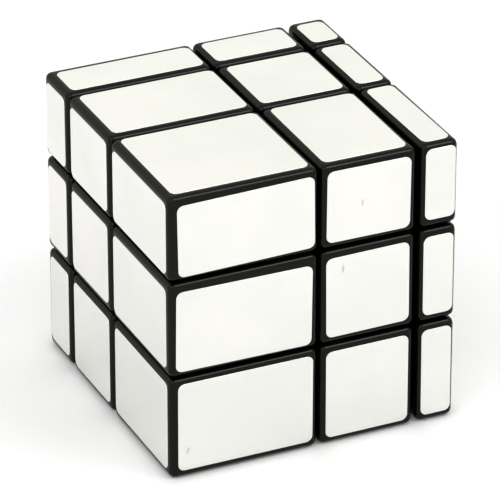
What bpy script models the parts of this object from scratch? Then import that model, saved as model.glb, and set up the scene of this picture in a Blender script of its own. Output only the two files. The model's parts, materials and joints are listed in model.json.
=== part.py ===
"""A 3x3x3 twisty puzzle whose layers all differ in thickness, at its real size, +Z up.

Its face layers are cut from one 57 mm cube by three pairs of planes that lie off centre, so every
block has its own proportions. A six-armed spider holds six sprung centres; the centres hold the
edges, and the edges hold the corners, by feet that run in round grooves about the three axes.
The origin is the middle of the underside. Lengths below are measured from the spider's middle
unless they say otherwise.
"""

import itertools
import math

import bmesh
import bpy
from mathutils import Matrix, Vector

# Shapes are worked out in millimetres, and each finished mesh is scaled to metres.
METRES = 0.001

# The outside: the cube, its middle layers, and its left, front and bottom layers.
CUBE_EDGE = 57.0
MIDDLE_LAYER = 19.4
LEFT_LAYER = 29.5
FRONT_LAYER = 26.3
BOTTOM_LAYER = 20.6

# The gap between neighbours is twice this, and wider by the play beside the thin right layer.
CLEARANCE = 0.2
RIGHT_LAYER_PLAY = 0.4
EDGE_RADIUS = 1.2
EDGE_SEGMENTS = 3

# The feet run in grooves of this radius, between these heights.
GROOVE_RADIUS = 16.0
GROOVE_FLOOR = 6.7
GROOVE_SEGMENTS = 64
FOOT_REACH = 17.0

# Edges and corners are hollow mouldings, cored out through a small hole that stays covered.
WALL = 1.6
CORE_HOLE_RADIUS = 1.0
CORE_HOLE_INSET = 1.5
CORE_HOLE_START = 5.0

# The spider.
HUB_HALF = 5.2
HUB_RADIUS = 1.6
ARM_RADIUS = 3.3
ARM_START = 3.5
ARM_END = 8.4
ARM_BORE_RADIUS = 1.4
ARM_BORE_FLOOR = 3.6

# A centre: its floor rides on the arm, with the spring, washer and screw in its pocket.
CENTRE_FLOOR = 8.7
SPRING_SEAT = 10.1
POCKET_RADIUS = 3.2
WELL_FLOOR = 16.4
WELL_HALF = 5.4
CAP_HALF = 5.7
CAP_THICKNESS = 1.2
CAP_GAP = 0.3
CAP_RING = (2.45, 2.9)
CAP_RING_DEPTH = 0.7

# The fasteners.
SHANK_RADIUS = 1.1
SHANK_TIP = 4.2
SHANK_TAPER = 1.2
HEAD_UNDERSIDE = 13.8
HEAD_TOP = 15.3
HEAD_RADIUS = 2.1
HEAD_CROWN = 0.5
RECESS_HALF = (1.25, 0.28)
RECESS_DEPTH = 0.9
WASHER_RADII = (1.5, 2.8)
WASHER_FACES = (13.2, 13.5)
SPRING_ENDS = (10.4, 12.9)
SPRING_MEAN_RADIUS = 2.3
WIRE_RADIUS = 0.25
SPRING_TURNS = 3.5
SPRING_STEPS_PER_TURN = 14
WIRE_SIDES = 5

ROUND_SEGMENTS = 24
HOLE_SEGMENTS = 12
# Rods about different axes start at different angles, so that their facets never coincide.
FACET_TURN = math.radians(1.3)
SMOOTH_ANGLE = math.radians(35)
OVERRUN = 3.0

HALF_MIDDLE = MIDDLE_LAYER / 2
SPIDER_MIDDLE = Vector(
    (
        LEFT_LAYER + HALF_MIDDLE - CUBE_EDGE / 2,
        FRONT_LAYER + HALF_MIDDLE - CUBE_EDGE / 2,
        BOTTOM_LAYER + HALF_MIDDLE,
    )
)
NEAR_FACES = (LEFT_LAYER, FRONT_LAYER, BOTTOM_LAYER)
SIDE_WORDS = (("left", "right"), ("front", "back"), ("bottom", "top"))


def face_distance(axis, side):
    """How far the cube's face on that side of an axis lies from the spider's middle."""
    near = NEAR_FACES[axis] + HALF_MIDDLE
    return near if side < 0 else CUBE_EDGE - near


def side_name(sides):
    """Such as left_front_top for (-1, -1, 1); an axis with side 0 gives no word."""
    words = [SIDE_WORDS[axis][side > 0] for axis, side in enumerate(sides) if side]
    return "_".join(words)


# Materials


def plastic(name, colour, roughness):
    return material(name, colour, roughness, 0.0)


def material(name, colour, roughness, metallic):
    made = bpy.data.materials.new(name)
    made.use_nodes = True
    shader = made.node_tree.nodes["Principled BSDF"]
    shader.inputs["Base Color"].default_value = (*colour, 1.0)
    shader.inputs["Roughness"].default_value = roughness
    shader.inputs["Metallic"].default_value = metallic
    return made


# Shapes, each an object whose mesh is measured from the spider's middle


def object_from(bm, name="tool"):
    bmesh.ops.recalc_face_normals(bm, faces=bm.faces)
    if bm.calc_volume(signed=True) < 0:
        bmesh.ops.reverse_faces(bm, faces=bm.faces)
    mesh = bpy.data.meshes.new(name)
    bm.to_mesh(mesh)
    bm.free()
    made = bpy.data.objects.new(name, mesh)
    bpy.context.scene.collection.objects.link(made)
    return made


def block(low, high, radius=0.0):
    """A box between two corners, its edges rounded."""
    size = [b - a for a, b in zip(low, high)]
    middle = [(a + b) / 2 for a, b in zip(low, high)]
    bm = bmesh.new()
    matrix = Matrix.Translation(middle) @ Matrix.Diagonal((*size, 1.0))
    bmesh.ops.create_cube(bm, size=1.0, matrix=matrix)
    if radius:
        bmesh.ops.bevel(
            bm,
            geom=bm.edges[:],
            offset=radius,
            offset_type="OFFSET",
            segments=EDGE_SEGMENTS,
            profile=0.5,
            affect="EDGES",
        )
    return object_from(bm)


def along(axis, side):
    """Turns +Z to that side of an axis."""
    direction = Vector([side if i == axis else 0 for i in range(3)])
    return Vector((0, 0, 1)).rotation_difference(direction).to_matrix().to_4x4()


def turned(profile, axis, side, segments=ROUND_SEGMENTS):
    """A closed profile of (radius, height) points spun about an axis."""
    bm = bmesh.new()
    points = [bm.verts.new((radius, 0, height)) for radius, height in profile]
    ends = zip(points, points[1:] + points[:1])
    edges = [bm.edges.new(pair) for pair in ends if pair[0].co.x or pair[1].co.x]
    bmesh.ops.spin(
        bm,
        geom=points + edges,
        cent=(0, 0, 0),
        axis=(0, 0, 1),
        angle=2 * math.pi,
        steps=segments,
        use_merge=True,
    )
    bmesh.ops.remove_doubles(bm, verts=bm.verts, dist=1e-4)
    bm.transform(along(axis, side) @ Matrix.Rotation(axis * FACET_TURN, 4, "Z"))
    return object_from(bm)


def rod(radius, start, end, axis, side, segments=ROUND_SEGMENTS):
    profile = [(0, start), (radius, start), (radius, end), (0, end)]
    return turned(profile, axis, side, segments)


def ring(radii, faces, axis, side):
    inner, outer = radii
    low, high = faces
    profile = [(inner, low), (outer, low), (outer, high), (inner, high)]
    return turned(profile, axis, side)


def combined(first, operation, *others):
    """The first object with the others added, cut away or intersected; the others are used up."""
    for other in others:
        modifier = first.modifiers.new("combine", "BOOLEAN")
        modifier.operation = operation
        modifier.solver = "EXACT"
        modifier.object = other
        graph = bpy.context.evaluated_depsgraph_get()
        result = bpy.data.meshes.new_from_object(first.evaluated_get(graph))
        first.modifiers.clear()
        first.data = result
        bpy.data.objects.remove(other)
    return first


def finished(shape, name, look, frame):
    """Names a shape, shades it and hangs it on a layer's empty, which stands on the joint's axis."""
    shape.name = name
    shape.data.name = name
    shape.data.transform(Matrix.Scale(METRES, 4))
    shape.data.materials.clear()
    shape.data.materials.append(look)
    shape.data.shade_smooth()
    shape.data.set_sharp_from_angle(angle=SMOOTH_ANGLE)
    shape.parent = frame
    return shape


# The outer pieces: the sides say which layer a piece is in on each axis, 0 for a middle layer


def inner_face(axis, side):
    """How far the inner faces of a layer's blocks lie from the spider's middle."""
    play = RIGHT_LAYER_PLAY if (axis, side) == (0, 1) else 0.0
    return HALF_MIDDLE + CLEARANCE + play


def span(axis, side, inner, outer_inset=0.0):
    """The (low, high) that a piece fills along an axis, from its inner face to the cube's face."""
    outer = face_distance(axis, side) - outer_inset
    return (inner, outer) if side > 0 else (-outer, -inner)


def box_over(spans, radius=0.0):
    lows, highs = zip(*spans)
    return block(lows, highs, radius)


def outer_block(sides):
    """The part of a piece that shows, with rounded edges. A centre's goes down to its floor."""
    is_centre = sides.count(0) == 2
    half = HALF_MIDDLE - CLEARANCE
    spans = []
    for axis, side in enumerate(sides):
        inner = CENTRE_FLOOR if is_centre else inner_face(axis, side)
        spans.append(span(axis, side, inner) if side else (-half, half))
    return box_over(spans, EDGE_RADIUS)


def foot(sides):
    """The foot that runs in the grooves: a box clipped by a cylinder about each axis it turns on."""
    inner = GROOVE_FLOOR + CLEARANCE
    half = GROOVE_FLOOR - CLEARANCE
    spans = []
    for side in sides:
        ends = (side * inner, side * FOOT_REACH) if side else (-half, half)
        spans.append(sorted(ends))
    shape = box_over(spans)
    reach = 2 * FOOT_REACH
    rims = [
        rod(GROOVE_RADIUS - CLEARANCE, -reach, reach, axis, 1, GROOVE_SEGMENTS)
        for axis, side in enumerate(sides)
        if side
    ]
    return combined(shape, "INTERSECT", *rims)


def grooves(sides):
    """What a piece in a middle layer gives up on both sides for its neighbours' feet."""
    start = GROOVE_FLOOR - CLEARANCE
    end = HALF_MIDDLE + OVERRUN
    radius = GROOVE_RADIUS + CLEARANCE
    return [
        rod(radius, start, end, axis, side, GROOVE_SEGMENTS)
        for axis, layer in enumerate(sides)
        if not layer
        for side in (-1, 1)
    ]


def hollow(sides):
    half = HALF_MIDDLE - CLEARANCE - WALL
    spans = []
    for axis, side in enumerate(sides):
        inner = inner_face(axis, side) + WALL
        spans.append(span(axis, side, inner, WALL) if side else (-half, half))
    return box_over(spans)


def core_hole(sides):
    """A round hole from the hollow to the side that a layer's own pieces cover."""
    axis = 0 if sides[0] else 1
    inset = HALF_MIDDLE + CLEARANCE + WALL + CORE_HOLE_INSET
    end = inner_face(axis, sides[axis]) + WALL + CORE_HOLE_RADIUS
    shape = rod(CORE_HOLE_RADIUS, CORE_HOLE_START, end, axis, sides[axis], HOLE_SEGMENTS)
    offset = [0 if i == axis else side * inset for i, side in enumerate(sides)]
    shape.data.transform(Matrix.Translation(offset))
    return shape


def moulding(sides):
    """An edge or a corner: block and foot in one, grooved for its neighbours, and hollow."""
    shape = combined(outer_block(sides), "UNION", foot(sides))
    return combined(
        shape, "DIFFERENCE", *grooves(sides), hollow(sides), core_hole(sides)
    )


def centre(axis, side):
    """A centre's block on its column, with the screw's bore, pocket and well down its middle."""
    sides = [side if i == axis else 0 for i in range(3)]
    face = face_distance(axis, side)
    recess_floor = face - CAP_THICKNESS - CAP_GAP
    pocket_top = min(WELL_FLOOR, recess_floor) + CLEARANCE
    stepped_bore = [
        (0, SHANK_TIP),
        (ARM_BORE_RADIUS, SHANK_TIP),
        (ARM_BORE_RADIUS, SPRING_SEAT),
        (POCKET_RADIUS, SPRING_SEAT),
        (POCKET_RADIUS, pocket_top),
        (0, pocket_top),
    ]
    recess = square_prism(CAP_HALF + CAP_GAP, recess_floor, face + OVERRUN, axis, side)
    cutters = [turned(stepped_bore, axis, side), recess]
    if recess_floor > WELL_FLOOR:
        cutters.append(
            square_prism(WELL_HALF, WELL_FLOOR, recess_floor + CLEARANCE, axis, side)
        )
    return combined(outer_block(sides), "DIFFERENCE", *grooves(sides), *cutters)


def square_prism(half, start, end, axis, side):
    ends = sorted((side * start, side * end))
    return box_over([ends if i == axis else (-half, half) for i in range(3)])


def cap(axis, side):
    """The plate that closes a centre, flush with its face, with a ring round the screw head."""
    face = face_distance(axis, side)
    plate = square_prism(CAP_HALF, face - CAP_THICKNESS, face, axis, side)
    underside = face - CAP_THICKNESS
    collar = ring(CAP_RING, (underside - CAP_RING_DEPTH, underside + CLEARANCE), axis, side)
    return combined(plate, "UNION", collar)


# The inside


def spider():
    """The hub and its six arms, each with a blind bore that its screw goes into."""
    corner = (HUB_HALF, HUB_HALF, HUB_HALF)
    shape = block([-c for c in corner], corner, HUB_RADIUS)
    directions = list(itertools.product(range(3), (-1, 1)))
    arms = [rod(ARM_RADIUS, ARM_START, ARM_END, axis, side) for axis, side in directions]
    bores = [
        rod(ARM_BORE_RADIUS, ARM_BORE_FLOOR, ARM_END + OVERRUN, axis, side, HOLE_SEGMENTS)
        for axis, side in directions
    ]
    return combined(combined(shape, "UNION", *arms), "DIFFERENCE", *bores)


def screw(axis, side):
    """A pan-head screw with a tapered tip and a cross recess."""
    profile = [
        (0, SHANK_TIP),
        (SHANK_RADIUS, SHANK_TIP + SHANK_TAPER),
        (SHANK_RADIUS, HEAD_UNDERSIDE),
        (HEAD_RADIUS, HEAD_UNDERSIDE),
        (HEAD_RADIUS, HEAD_TOP - HEAD_CROWN),
        (HEAD_RADIUS - HEAD_CROWN, HEAD_TOP),
        (0, HEAD_TOP),
    ]
    shape = turned(profile, axis, side)
    long, short = RECESS_HALF
    slots = []
    for halves in ((long, short), (short, long)):
        spans = [(-half, half) for half in halves]
        spans.insert(axis, sorted((side * (HEAD_TOP - RECESS_DEPTH), side * (HEAD_TOP + OVERRUN))))
        slots.append(box_over(spans))
    cross = combined(slots[0], "UNION", slots[1])
    return combined(shape, "DIFFERENCE", cross)


def spring(axis, side):
    """A helix of wire, swept ring by ring and closed at both ends."""
    low, high = (SPRING_ENDS[0] + WIRE_RADIUS, SPRING_ENDS[1] - WIRE_RADIUS)
    steps = round(SPRING_TURNS * SPRING_STEPS_PER_TURN)
    rise = (high - low) / (2 * math.pi * SPRING_TURNS)
    bm = bmesh.new()
    rings = []
    for step in range(steps + 1):
        angle = 2 * math.pi * SPRING_TURNS * step / steps
        outward = Vector((math.cos(angle), math.sin(angle), 0))
        heading = Vector((-math.sin(angle), math.cos(angle), rise / SPRING_MEAN_RADIUS))
        upward = heading.normalized().cross(outward)
        middle = SPRING_MEAN_RADIUS * outward + Vector((0, 0, low + rise * angle))
        section = []
        for corner in range(WIRE_SIDES):
            turn = 2 * math.pi * corner / WIRE_SIDES
            offset = math.cos(turn) * outward + math.sin(turn) * upward
            section.append(bm.verts.new(middle + WIRE_RADIUS * offset))
        rings.append(section)
    for lower, upper in zip(rings, rings[1:]):
        for i in range(WIRE_SIDES):
            j = (i + 1) % WIRE_SIDES
            bm.faces.new((lower[i], lower[j], upper[j], upper[i]))
    bm.faces.new(rings[0])
    bm.faces.new(rings[-1])
    bm.transform(along(axis, side))
    return object_from(bm)


def washer(axis, side):
    return ring(WASHER_RADII, WASHER_FACES, axis, side)


# The assembly


def layer_frame(name):
    """An empty at the spider's middle, through which the turning layers' axis passes."""
    frame = bpy.data.objects.new(name, None)
    frame.location = SPIDER_MIDDLE * METRES
    bpy.context.scene.collection.objects.link(frame)
    return frame


def clear_scene():
    for left_over in list(bpy.data.objects):
        bpy.data.objects.remove(left_over)


def build():
    clear_scene()
    frames = {
        -1: layer_frame("bottom_layer_axis"),
        0: layer_frame("middle_layer_axis"),
        1: layer_frame("top_layer_axis"),
    }
    black = plastic("gloss_black_plastic", (0.012, 0.012, 0.013), 0.16)
    charcoal = plastic("satin_charcoal_plastic", (0.03, 0.03, 0.033), 0.35)
    steel = material("zinc_plated_steel", (0.62, 0.62, 0.6), 0.32, 1.0)
    wire = material("spring_steel", (0.5, 0.5, 0.52), 0.25, 1.0)

    finished(spider(), "core_spider", charcoal, frames[0])
    for axis, side in itertools.product(range(3), (-1, 1)):
        word = SIDE_WORDS[axis][side > 0]
        layer = side if axis == 2 else 0
        finished(screw(axis, side), f"screw_{word}", steel, frames[0])
        finished(washer(axis, side), f"washer_{word}", steel, frames[0])
        finished(spring(axis, side), f"spring_{word}", wire, frames[0])
        finished(centre(axis, side), f"centre_{word}", black, frames[layer])
        finished(cap(axis, side), f"centre_cap_{word}", black, frames[layer])
    for sides in itertools.product((-1, 0, 1), repeat=3):
        kind = {0: "corner", 1: "edge"}.get(sides.count(0))
        if kind:
            name = f"{kind}_{side_name(sides)}"
            finished(moulding(sides), name, black, frames[sides[2]])


build()
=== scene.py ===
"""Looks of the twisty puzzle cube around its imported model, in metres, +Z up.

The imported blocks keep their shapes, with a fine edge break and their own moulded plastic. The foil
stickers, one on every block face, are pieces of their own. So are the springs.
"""

import json
import math
import random

import bmesh
import bpy
from mathutils import Matrix, Vector, noise

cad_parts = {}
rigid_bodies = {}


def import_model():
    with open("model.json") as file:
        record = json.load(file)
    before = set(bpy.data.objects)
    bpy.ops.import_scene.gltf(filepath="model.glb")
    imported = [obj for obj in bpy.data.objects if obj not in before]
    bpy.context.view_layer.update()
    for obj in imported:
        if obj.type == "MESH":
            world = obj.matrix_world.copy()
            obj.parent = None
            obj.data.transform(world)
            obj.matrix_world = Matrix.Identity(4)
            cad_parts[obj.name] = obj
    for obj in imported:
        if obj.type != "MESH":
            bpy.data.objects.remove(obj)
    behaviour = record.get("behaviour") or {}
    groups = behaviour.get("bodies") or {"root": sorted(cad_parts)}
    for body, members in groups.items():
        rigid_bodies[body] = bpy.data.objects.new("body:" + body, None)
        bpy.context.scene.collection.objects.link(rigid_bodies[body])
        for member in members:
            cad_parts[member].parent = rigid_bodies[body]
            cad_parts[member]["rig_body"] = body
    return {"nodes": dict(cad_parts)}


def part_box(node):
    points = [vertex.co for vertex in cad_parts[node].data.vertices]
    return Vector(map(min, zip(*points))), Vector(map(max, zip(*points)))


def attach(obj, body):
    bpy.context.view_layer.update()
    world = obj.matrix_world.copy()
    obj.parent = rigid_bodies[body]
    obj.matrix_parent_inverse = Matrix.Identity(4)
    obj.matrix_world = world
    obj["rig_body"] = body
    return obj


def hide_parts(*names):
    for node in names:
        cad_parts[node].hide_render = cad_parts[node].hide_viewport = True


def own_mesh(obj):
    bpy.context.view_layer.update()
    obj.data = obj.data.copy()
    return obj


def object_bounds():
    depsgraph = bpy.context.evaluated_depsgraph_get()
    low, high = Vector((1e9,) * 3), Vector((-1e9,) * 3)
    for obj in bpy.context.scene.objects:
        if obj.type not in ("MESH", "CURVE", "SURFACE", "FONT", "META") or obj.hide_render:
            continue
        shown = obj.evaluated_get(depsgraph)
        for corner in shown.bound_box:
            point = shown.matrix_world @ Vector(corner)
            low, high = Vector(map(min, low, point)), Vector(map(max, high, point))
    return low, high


for left_over in list(bpy.data.objects):
    bpy.data.objects.remove(left_over)

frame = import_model()
CAD_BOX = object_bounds()
CAD_MIDDLE = (CAD_BOX[0] + CAD_BOX[1]) / 2

MM = 0.001

# Stickers. The insets are from a block's outline to its sticker: outer ones are at the cube's outside.
FOIL_THICKNESS = 0.13 * MM
FOIL_LIFT = 0.002 * MM
FOIL_CORNER = 1.3 * MM
INNER_INSET = 1.15 * MM
OUTER_INSET = 1.35 * MM
FAR_TOP_INSET = 1.75 * MM
MIDDLE_ROW_INSET = 1.4 * MM
NARROW_INNER_INSET = 0.75 * MM
NARROW_OUTER_INSET = 0.62 * MM
NARROW_TOP_INSET = 1.25 * MM
SLIP = 0.12 * MM
ASKEW = math.radians(0.5)
WAVE_HEIGHT = 0.012 * MM
WAVE_LENGTH = 7.0 * MM
WAVE_SHIFT = 0.037
LAYING_SEED = 5

# A sticker's surface in rings from its rim inwards: (inset, share of its thickness), then insets alone
FOIL_RIM = ((0.0, 0.0), (0.0, 0.6), (0.03 * MM, 0.9), (0.09 * MM, 1.0))
FOIL_RINGS = tuple(inset * MM for inset in (0.25, 0.5, 0.9, 1.4, 2.2, 3.2, 4.5, 6, 8, 10, 12))
SMALLEST_RING = 0.5 * MM
CORNER_POINTS = 7
OUTLINE_STEP = 1.5 * MM

# Stickers laid less well than the rest: (right, up, turn in degrees)
BADLY_LAID = {
    "foil_corner_left_front_top_on_front": (0.3 * MM, -0.15 * MM, 0.9),
    "foil_edge_left_front_on_front": (-0.15 * MM, -0.4 * MM, -0.7),
    "foil_corner_right_front_top_on_front": (0.1 * MM, 0.5 * MM, 0.0),
}

# Scuffs through the foil: the sticker, where on it (right, up), and how long, wide and slanted
SCUFFS = (
    ("foil_edge_front_top_on_front", (-1.3 * MM, -0.2 * MM), 1.5 * MM, 0.34 * MM, 0),
    ("foil_centre_front_on_front", (-5.0 * MM, 5.5 * MM), 1.8 * MM, 0.5 * MM, -4),
    ("foil_corner_left_front_bottom_on_front", (-11.5 * MM, -4.9 * MM), 1.6 * MM, 0.5 * MM, -25),
)

SCUFF_HEIGHT = 0.012 * MM
SCUFF_RIM = ((0.0, 0.0), (0.02 * MM, 1.0))
SCUFF_POINTS = 16

# Blocks
GAP = 0.4 * MM
RIGHT_PLAY = 0.4 * MM
EDGE_RADIUS = 1.2 * MM
EDGE_BREAK = 0.12 * MM
BREAK_SEGMENTS = 2
BREAK_ANGLE = math.radians(40)
FLAT_ANGLE = math.radians(0.5)
FACET_WELD = 0.001 * MM
SLIVER_WELD = 0.01 * MM
NORMAL_WEIGHT = 100

# Between faces that meet at more than this, a new piece's edge shows as sharp.
SHARP_ANGLE = math.radians(50)

# Springs of round wire: at a cut end the wire keeps WIRE_END of its radius.
WIRE_RADIUS = 0.25 * MM
WIRE_SIDES = 12
WIRE_END = 0.75
SPRING_TURNS = 3.5
STATIONS_PER_TURN = 26

# The camera
AZIMUTH = math.radians(-24.7)
ELEVATION = math.radians(28.0)
DISTANCE = 0.85
LENS = 331.0
SENSOR_WIDTH = 36.0
CLIP_END = 20.0
AIM_RIGHT = 0.28 * MM
AIM_UP = -1.3 * MM

# The surround: a direction almost overhead, and its strengths level with the floor and that way up
SKY_AXIS = (0.0, 0.2, 0.98)
SKY_LEVEL = 1.15
SKY_OVERHEAD = 1.06

# Floor and light
LIGHT_COLOUR = (1, 1, 0.975)
FLOOR_SIZE = 6.0
FLOOR_TONES = ((0.745, 0.742, 0.76, 1), (0.765, 0.762, 0.78, 1))
FLOOR_GLOW = 0.11
FLOOR_ROUGHNESS = 0.85
VIEW_GAMMA = 0.67

# The colour sockets of a Mix node
MIX_FIRST, MIX_SECOND, MIX_RESULT = 6, 7, 2

SIDE_WORDS = (("left", "right"), ("front", "back"), ("bottom", "top"))


# Materials


class Nodes:
    """Adds shader nodes to a material and links them, in a few words."""

    def __init__(self, name):
        self.material = bpy.data.materials.new(name)
        self.material.use_nodes = True
        self.tree = self.material.node_tree
        self.shader = self.tree.nodes["Principled BSDF"]

    def add(self, kind, settings=None, **inputs):
        node = self.tree.nodes.new("ShaderNode" + kind)
        for key, value in (settings or {}).items():
            setattr(node, key, value)
        for key, value in inputs.items():
            self.feed(node.inputs[key.replace("_", " ")], value)
        return node

    def feed(self, socket, value):
        if isinstance(value, bpy.types.NodeSocket):
            self.tree.links.new(value, socket)
        else:
            socket.default_value = value

    def noise(self, scale, detail=3.0, rough=0.5, stretch=(1, 1, 1), seed=0.0):
        place = self.add("TexCoord").outputs["Object"]
        mapped = self.add("Mapping", Vector=place, Scale=stretch, Location=(seed, seed, seed))
        return self.add(
            "TexNoise", Vector=mapped.outputs[0], Scale=scale, Detail=detail, Roughness=rough
        ).outputs["Fac"]

    def remap(self, value, low, high, to_low=0.0, to_high=1.0):
        node = self.add("MapRange", Value=value)
        for name, number in zip(("From Min", "From Max", "To Min", "To Max"), (low, high, to_low, to_high)):
            node.inputs[name].default_value = number
        return node.outputs[0]

    def blend(self, factor, first, second):
        node = self.add("Mix", {"data_type": "RGBA"})
        self.feed(node.inputs["Factor"], factor)
        self.feed(node.inputs[MIX_FIRST], first)
        self.feed(node.inputs[MIX_SECOND], second)
        return node.outputs[MIX_RESULT]

    def bump(self, height, distance, strength=1.0, under=None):
        node = self.add("Bump", Height=height, Distance=distance, Strength=strength)
        if under:
            self.feed(node.inputs["Normal"], under)
        return node.outputs[0]

    def set(self, **inputs):
        for key, value in inputs.items():
            self.feed(self.shader.inputs[key.replace("_", " ")], value)
        return self.material


def moulded_plastic(name, dark, light, rough_low, rough_high, specular):
    """Glossy moulding: faint tone clouds, rubbed patches and a fine orange-peel skin."""
    n = Nodes(name)
    clouds = n.noise(scale=90, seed=3)
    rubbed = n.noise(scale=420, detail=5, rough=0.65, seed=7)
    grain = n.noise(scale=700, detail=2, seed=5)
    hairs = n.noise(scale=900, detail=2, stretch=(1, 1, 14), seed=11)
    colour = n.blend(n.remap(clouds, low=0.35, high=0.65), dark, light)
    gloss = n.remap(rubbed, low=0.35, high=0.7, to_low=rough_low, to_high=rough_high)
    peel = n.bump(grain, distance=0.02 * MM, strength=0.35)
    skin = n.bump(hairs, distance=0.006 * MM, strength=0.25, under=peel)
    n.shader.inputs["Specular IOR Level"].default_value = specular
    return n.set(Base_Color=colour, Roughness=gloss, Normal=skin)


def foil(name, dark, light, rough_low, rough_high):
    """Silvered film: a broad satin reflection, tone clouds that are partly painted reflection, faint
    smudges and a very fine grain.
    """
    n = Nodes(name)
    n.shader.inputs["Metallic"].default_value = 1.0
    clouds = n.noise(scale=60, detail=2, seed=2)
    smudges = n.noise(scale=160, detail=2, seed=9)
    grain = n.noise(scale=2600, detail=2, seed=4)
    # The tone clouds are partly the film's own uneven tint and partly painted reflection: they copy the
    # patchy reflections of a film that is not quite flat.
    colour = n.blend(n.remap(clouds, low=0.3, high=0.7), dark, light)
    gloss = n.remap(smudges, low=0.3, high=0.75, to_low=rough_low, to_high=rough_high)
    skin = n.bump(grain, distance=0.002 * MM, strength=0.1)
    return n.set(Base_Color=colour, Roughness=gloss, Normal=skin)


def metal(name, dark, light, rough_low, rough_high):
    """Bare metal with faint stains that are slightly etched."""
    n = Nodes(name)
    n.shader.inputs["Metallic"].default_value = 1.0
    stains = n.noise(scale=500, detail=4, seed=1)
    rubbed = n.noise(scale=1500, seed=6)
    colour = n.blend(n.remap(stains, low=0.35, high=0.65), dark, light)
    gloss = n.remap(rubbed, low=0.3, high=0.7, to_low=rough_low, to_high=rough_high)
    etched = n.bump(stains, distance=0.01 * MM, strength=0.3)
    return n.set(Base_Color=colour, Roughness=gloss, Normal=etched)


BLACK = moulded_plastic(
    "black_moulding", (0.004, 0.004, 0.0025, 1), (0.007, 0.007, 0.0045, 1), 0.12, 0.22, 0.5
)
CHARCOAL = moulded_plastic(
    "charcoal_moulding", (0.024, 0.024, 0.026, 1), (0.034, 0.034, 0.036, 1), 0.32, 0.5, 0.4
)
FOIL = foil("silver_foil", (0.84, 0.85, 0.824, 1), (0.884, 0.878, 0.858, 1), 0.29, 0.37)
SCUFFED = metal("scuffed_film", (0.68, 0.68, 0.66, 1), (0.74, 0.74, 0.72, 1), 0.5, 0.65)
ZINC = metal("zinc_plate", (0.55, 0.55, 0.53, 1), (0.68, 0.68, 0.66, 1), 0.24, 0.4)
WIRE = metal("spring_wire", (0.42, 0.42, 0.44, 1), (0.56, 0.56, 0.58, 1), 0.18, 0.32)
LOOKS = {"core": CHARCOAL, "screw": ZINC, "washer": ZINC}


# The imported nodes: their facets joined into smooth surfaces, with sharp edges broken


def dress(node, piece):
    """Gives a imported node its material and, by modifiers alone, smooth shading and broken edges."""
    piece.data.attributes.remove(piece.data.attributes["custom_normal"])
    for edge in piece.data.edges:
        edge.use_edge_sharp = False
    piece.data.polygons.foreach_set("use_smooth", [True] * len(piece.data.polygons))
    look = LOOKS.get(node.split("_")[0], BLACK)
    for slot in piece.material_slots:
        slot.material = look
    weld = piece.modifiers.new("join_facets", "WELD")
    weld.merge_threshold = FACET_WELD
    flat = piece.modifiers.new("join_planes", "DECIMATE")
    flat.decimate_type = "DISSOLVE"
    flat.angle_limit = FLAT_ANGLE
    break_edges = piece.modifiers.new("break_edges", "BEVEL")
    break_edges.limit_method = "ANGLE"
    break_edges.angle_limit = BREAK_ANGLE
    break_edges.width = EDGE_BREAK
    break_edges.segments = BREAK_SEGMENTS
    break_edges.use_clamp_overlap = False
    slivers = piece.modifiers.new("close_slivers", "WELD")
    slivers.merge_threshold = SLIVER_WELD
    normals = piece.modifiers.new("flat_faces", "WEIGHTED_NORMAL")
    normals.mode = "FACE_AREA"
    normals.weight = NORMAL_WEIGHT


for node, piece in frame["nodes"].items():
    if not node.startswith("spring_"):
        dress(node, piece)


# Stickers


def layer_spans():
    """Where blocks lie on each axis at rest: {axis: {side: (low, high)}}, without their feet."""
    low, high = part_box("core_spider")
    middle = (low + high) / 2
    low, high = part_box("centre_top")
    half = (high.x - low.x) / 2
    spans = {}
    for axis in range(3):
        play = RIGHT_PLAY if axis == 0 else 0.0
        near, far = middle[axis] - half, middle[axis] + half
        spans[axis] = {
            -1: (CAD_BOX[0][axis], near - GAP),
            0: (near, far),
            1: (far + GAP + play, CAD_BOX[1][axis]),
        }
    return spans


SPANS = layer_spans()


def sides_of(node):
    """Such as (-1, -1, 1) for corner_left_front_top; 0 on an axis of a middle layer."""
    words = node.split("_")
    return [(high in words) - (low in words) for low, high in SIDE_WORDS]


def insets(axis, side, face):
    """(inner, outer) insets along an axis of a sticker on a face that looks along another axis."""
    if (axis, side) == (0, 1):
        return NARROW_INNER_INSET, NARROW_TOP_INSET if face == 2 else NARROW_OUTER_INSET
    if (axis, side, face) == (1, 1, 2):
        return INNER_INSET, FAR_TOP_INSET
    return (MIDDLE_ROW_INSET if (axis, side) == (2, 0) else INNER_INSET), OUTER_INSET


def sticker_span(axis, side, face):
    """The (low, high) that a sticker fills on an axis, inside its block's face."""
    low, high = SPANS[axis][side]
    inner, outer = insets(axis, side, face)
    return low + (outer if side < 0 else inner), high - (outer if side > 0 else inner)


def fall(point, face, sides):
    """How far a block's rounded edge has dropped under a point of its sticker."""
    drop = 0.0
    for axis in range(3):
        if axis == face:
            continue
        low, high = SPANS[axis][sides[axis]]
        past = max(0.0, low + EDGE_RADIUS - point[axis], point[axis] - high + EDGE_RADIUS)
        drop += EDGE_RADIUS - math.sqrt(EDGE_RADIUS**2 - min(past, EDGE_RADIUS) ** 2)
    return drop


def rounded_outline(width, height, radius):
    """Points round a rectangle with round corners, anticlockwise, centred on the origin."""
    points = []
    quarter = math.pi / 2
    for i, (sx, sy) in enumerate(((1, 1), (-1, 1), (-1, -1), (1, -1))):
        centre = Vector((sx * (width / 2 - radius), sy * (height / 2 - radius)))
        for k in range(CORNER_POINTS):
            angle = quarter * (i + k / (CORNER_POINTS - 1))
            points.append(centre + radius * Vector((math.cos(angle), math.sin(angle))))
    filled = []
    for here, there in zip(points, points[1:] + points[:1]):
        pieces = max(1, round((there - here).length / OUTLINE_STEP))
        filled += [here.lerp(there, k / pieces) for k in range(pieces)]
    return filled


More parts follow.
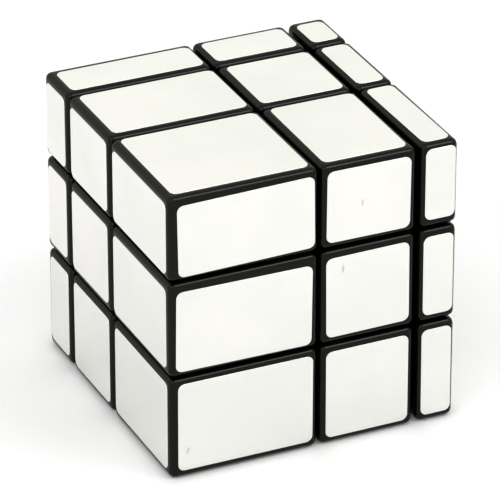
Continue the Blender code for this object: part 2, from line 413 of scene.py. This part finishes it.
def sticker_height(point, seed):
    """Slow waves in a film pressed down by hand."""
    place = Vector((point.x, point.y, seed * WAVE_SHIFT)) / WAVE_LENGTH
    return WAVE_HEIGHT * noise.noise(place)


def bridge(bm, rings):
    """Faces between each ring of points and the next."""
    for lower, upper in zip(rings, rings[1:]):
        for i in range(len(lower)):
            j = (i + 1) % len(lower)
            bm.faces.new((lower[i], lower[j], upper[j], upper[i]))


def finished_mesh(name, bm, material):
    """The closed surface as a smooth mesh of one material, sharp only where it turns sharply."""
    bmesh.ops.recalc_face_normals(bm, faces=bm.faces)
    mesh = bpy.data.meshes.new(name)
    bm.to_mesh(mesh)
    bm.free()
    mesh.shade_smooth()
    mesh.set_sharp_from_angle(angle=SHARP_ANGLE)
    mesh.materials.append(material)
    return mesh


def film_mesh(name, outline, rim, insets_after, place, material):
    """A thin closed film: the rim's rings, then a ring at each later inset, and a flat underside.

    place takes a point in the film's plane, and a share of its thickness, to the world.
    """
    half = Vector((max(p.x for p in outline), max(p.y for p in outline)))
    bm = bmesh.new()
    rings = []
    within = [(inset, 1.0) for inset in insets_after if inset < min(half) - SMALLEST_RING]
    for inset, share in [*rim, *within]:
        scale = Vector((1 - inset / half.x, 1 - inset / half.y))
        flats = [Vector((point.x * scale.x, point.y * scale.y)) for point in outline]
        rings.append([bm.verts.new(place(flat, share)) for flat in flats])
    bridge(bm, rings)
    count = len(outline)
    top = bm.verts.new(place(Vector((0, 0)), 1.0))
    for i in range(count):
        bm.faces.new((rings[-1][i], rings[-1][(i + 1) % count], top))
    bm.faces.new(list(reversed(rings[0])))
    return finished_mesh(name, bm, material)


def add_piece(name, mesh, body):
    piece = bpy.data.objects.new(name, mesh)
    bpy.context.scene.collection.objects.link(piece)
    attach(piece, body)
    return piece


def face_matrix(axis, side, centre, turn):
    """Takes x and y in a face, and z out of it, to the world; turn is about that z."""
    first, second = [a for a in range(3) if a != axis]
    matrix = Matrix.Translation(centre) @ Matrix.Diagonal((0, 0, 0, 1))
    matrix[first][0] = 1
    matrix[second][1] = 1
    matrix[axis][2] = side
    return matrix @ Matrix.Rotation(turn, 4, "Z")


def sticker(name, size, axis, sides, to_world, seed):
    """A foil sticker, folded over where it reaches its block's rounded edges."""
    outline = rounded_outline(size[0], size[1], FOIL_CORNER)

    def place(flat, share):
        height = share * FOIL_THICKNESS + FOIL_LIFT
        if share == 1.0:
            height += sticker_height(flat, seed)
        height -= fall(to_world @ flat.to_3d(), axis, sides)
        return to_world @ Vector((flat.x, flat.y, height))

    return film_mesh(name, outline, FOIL_RIM, FOIL_RINGS, place, FOIL)


def scuff(name, length, width, to_world):
    """A sliver rubbed through the foil, pointed at both ends."""
    outline = []
    for k in range(SCUFF_POINTS):
        angle = 2 * math.pi * k / SCUFF_POINTS
        across = math.sin(angle)
        outline.append(Vector((across * abs(across) * width / 2, math.cos(angle) * length / 2)))

    def place(flat, share):
        height = FOIL_THICKNESS + FOIL_LIFT + WAVE_HEIGHT + share * SCUFF_HEIGHT
        return to_world @ Vector((flat.x, flat.y, height))

    return film_mesh(name, outline, SCUFF_RIM, (), place, SCUFFED)


def add_scuffs(sticker_name, to_world, body):
    """The scuffs that lie on one sticker."""
    for number, (where, (along, rise), length, width, slant) in enumerate(SCUFFS, 1):
        if where == sticker_name:
            lean = Matrix.Rotation(math.radians(slant), 4, "Z")
            spot = Matrix.Translation((along, rise, 0)) @ lean
            mesh = scuff(f"scuff_{number}", length, width, to_world @ spot)
            add_piece(f"scuff_{number}", mesh, body)


def add_stickers():
    """One on each face of each block, laid by hand: a touch off centre and a touch askew."""
    by_hand = random.Random(LAYING_SEED)
    seed = 0
    blocks = [n for n in sorted(frame["nodes"]) if n.split("_")[0] in ("corner", "edge", "centre")]
    for node in blocks:
        if node.startswith("centre_cap"):
            continue
        sides = sides_of(node)
        body = frame["nodes"][node]["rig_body"]
        for axis, side in enumerate(sides):
            if not side:
                continue
            seed += 1
            name = f"foil_{node}_on_{SIDE_WORDS[axis][side > 0]}"
            first, second = [a for a in range(3) if a != axis]
            spans = {a: sticker_span(a, sides[a], axis) for a in (first, second)}
            right, up = by_hand.uniform(-SLIP, SLIP), by_hand.uniform(-SLIP, SLIP)
            turn = by_hand.uniform(-ASKEW, ASKEW)
            if name in BADLY_LAID:
                right, up, degrees = BADLY_LAID[name]
                turn = -side * math.radians(degrees)
            centre = Vector((0, 0, 0))
            centre[axis] = CAD_BOX[side > 0][axis]
            centre[first] = sum(spans[first]) / 2 + right
            centre[second] = sum(spans[second]) / 2 + up
            size = [spans[a][1] - spans[a][0] for a in (first, second)]
            to_world = face_matrix(axis, side, centre, turn)
            add_piece(name, sticker(name, size, axis, sides, to_world, seed), body)
            add_scuffs(name, to_world, body)


add_stickers()


# Springs


def coil_mesh(name, radius, start, end, to_world):
    """A helix of round wire about z, between two heights, its cut ends drawn in a little."""
    rise = end - start - 2 * WIRE_RADIUS
    slope = rise / (2 * math.pi * SPRING_TURNS * radius)
    count = round(SPRING_TURNS * STATIONS_PER_TURN)
    bm = bmesh.new()
    rings = []
    for station in range(count + 1):
        angle = 2 * math.pi * SPRING_TURNS * station / count
        outward = Vector((math.cos(angle), math.sin(angle), 0))
        heading = Vector((-math.sin(angle), math.cos(angle), slope)).normalized()
        upward = heading.cross(outward)
        height = start + WIRE_RADIUS + rise * station / count
        middle = radius * outward + Vector((0, 0, height))
        thickness = WIRE_RADIUS * (WIRE_END if station in (0, count) else 1.0)
        section = []
        for corner in range(WIRE_SIDES):
            turn = 2 * math.pi * corner / WIRE_SIDES
            offset = math.cos(turn) * outward + math.sin(turn) * upward
            section.append(bm.verts.new(to_world @ (middle + thickness * offset)))
        rings.append(section)
    bridge(bm, rings)
    bm.faces.new(rings[0])
    bm.faces.new(rings[-1])
    return finished_mesh(name, bm, WIRE)


def add_springs():
    """One under each centre, in place of its imported spring."""
    low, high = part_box("core_spider")
    middle = (low + high) / 2
    for axis, words in enumerate(SIDE_WORDS):
        across = (axis + 1) % 3
        for side, word in zip((-1, 1), words):
            node = f"spring_{word}"
            low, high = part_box(node)
            start, end = sorted(abs(corner[axis] - middle[axis]) for corner in (low, high))
            radius = (high[across] - low[across]) / 2 - WIRE_RADIUS
            mesh = coil_mesh(f"coil_{word}", radius, start, end, face_matrix(axis, side, middle, 0))
            piece = add_piece(f"coil_{word}", mesh, frame["nodes"][node]["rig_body"])
            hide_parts(node)
            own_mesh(piece)


add_springs()


# Floor, light and camera


def add_floor():
    """Pale studio paper that gives off a little light of its own."""
    bpy.ops.mesh.primitive_plane_add(size=FLOOR_SIZE, location=(0, 0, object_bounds()[0].z))
    floor = bpy.context.object
    floor.name = "floor"
    n = Nodes("floor_paper")
    clouds = n.noise(scale=6, detail=2)
    tone = n.blend(n.remap(clouds, low=0.3, high=0.7), *FLOOR_TONES)
    n.shader.inputs["Emission Color"].default_value = (1, 1, 1, 1)
    n.shader.inputs["Emission Strength"].default_value = FLOOR_GLOW
    floor.data.materials.append(n.set(Base_Color=tone, Roughness=FLOOR_ROUGHNESS))


def direction_to(azimuth, elevation):
    """From the cube towards a point round it; azimuth 0 is in front, both angles in radians."""
    level = math.cos(elevation)
    return Vector((math.sin(azimuth) * level, -math.cos(azimuth) * level, math.sin(elevation)))


def add_softbox(name, azimuth, elevation, distance, size, radiance, lean=0.0):
    """A square softbox that faces the cube's middle; angles in degrees, lean turns it in its plane."""
    data = bpy.data.lights.new(name, "AREA")
    data.shape = "SQUARE"
    data.size = size
    data.color = LIGHT_COLOUR
    data.energy = radiance * math.pi * size**2
    light = bpy.data.objects.new(name, data)
    back = direction_to(math.radians(azimuth), math.radians(elevation))
    light.location = CAD_MIDDLE + distance * back
    turn = back.to_track_quat("Z", "Y").to_matrix() @ Matrix.Rotation(math.radians(lean), 3, "Z")
    light.rotation_euler = turn.to_euler()
    bpy.context.scene.collection.objects.link(light)


def add_world():
    """A nearly even white surround, a little stronger near the floor than overhead."""
    world = bpy.data.worlds.new("studio")
    world.use_nodes = True
    tree = world.node_tree
    direction = tree.nodes.new("ShaderNodeTexCoord").outputs["Generated"]
    towards = tree.nodes.new("ShaderNodeVectorMath")
    towards.operation = "DOT_PRODUCT"
    towards.inputs[1].default_value = SKY_AXIS
    tree.links.new(direction, towards.inputs[0])
    strength = tree.nodes.new("ShaderNodeMapRange")
    strength.inputs["To Min"].default_value = SKY_LEVEL
    strength.inputs["To Max"].default_value = SKY_OVERHEAD
    tree.links.new(towards.outputs["Value"], strength.inputs["Value"])
    background = tree.nodes["Background"]
    background.inputs["Color"].default_value = (*LIGHT_COLOUR, 1)
    tree.links.new(strength.outputs[0], background.inputs["Strength"])
    bpy.context.scene.world = world


def add_camera():
    """A long lens, aimed a little to one side of the cube's middle."""
    data = bpy.data.cameras.new("camera")
    data.lens = LENS
    data.sensor_width = SENSOR_WIDTH
    data.clip_end = CLIP_END
    camera = bpy.data.objects.new("camera", data)
    back = direction_to(AZIMUTH, ELEVATION)
    right = Vector((math.cos(AZIMUTH), math.sin(AZIMUTH), 0))
    up = back.cross(right)
    aim = CAD_MIDDLE + AIM_RIGHT * right + AIM_UP * up
    camera.location = aim + DISTANCE * back
    camera.rotation_euler = back.to_track_quat("Z", "Y").to_euler()
    bpy.context.scene.collection.objects.link(camera)
    bpy.context.scene.camera = camera


add_floor()
add_softbox("key_softbox", azimuth=38, elevation=53, distance=0.8, size=0.28, radiance=3.6, lean=-32)
add_softbox("fill_softbox", azimuth=-50, elevation=45, distance=0.9, size=0.7, radiance=1.1)
add_world()
add_camera()
bpy.context.scene.view_settings.view_transform = "Standard"
bpy.context.scene.view_settings.gamma = VIEW_GAMMA
